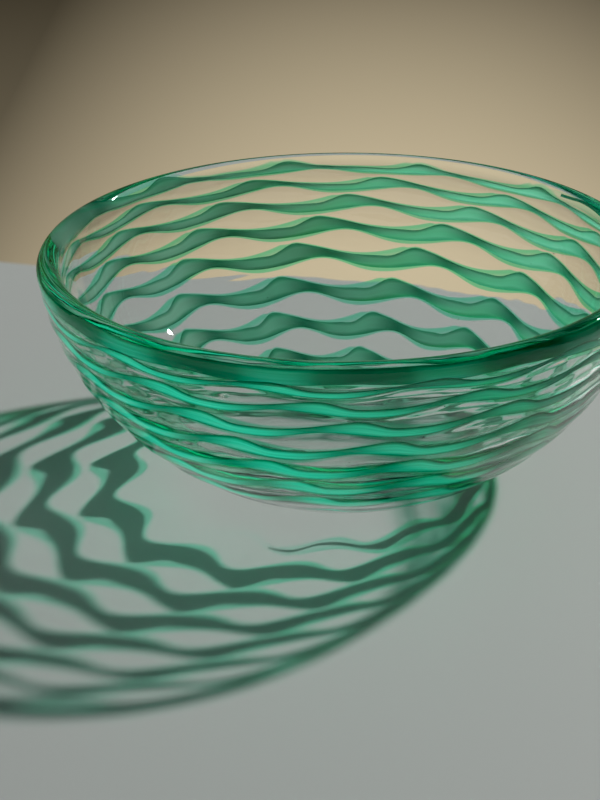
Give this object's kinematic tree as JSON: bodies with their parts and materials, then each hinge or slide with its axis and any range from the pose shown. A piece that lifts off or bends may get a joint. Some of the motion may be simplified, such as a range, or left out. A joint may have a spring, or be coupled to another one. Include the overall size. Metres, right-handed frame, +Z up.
{
  "type": "art glass bowl",
  "caption": "Heavy round hand-blown clear glass bowl with a wavy green spiral trail cased in its wall, a rounded lip and a flat ground base.",
  "frame": {"origin": "centre of the flat ground base, on the surface that the bowl stands on", "axes": "+Z up along the bowl's axis of revolution; +X and +Y are square to it, and at +Y the trail's first turn passes just under the lip"},
  "size_m": [0.28, 0.2798, 0.107],
  "materials": {
    "clear_glass": "fire-polished clear soda glass, gloss",
    "emerald_glass": "transparent emerald glass, gloss",
    "opaline_green_glass": "translucent opaline sea-green glass, gloss"
  },
  "bodies": {
    "root": {"inner_gather": "clear_glass", "outer_casing": "clear_glass", "trail_core": "opaline_green_glass", "trail_sheath": "emerald_glass"}
  },
  "joints": []
}
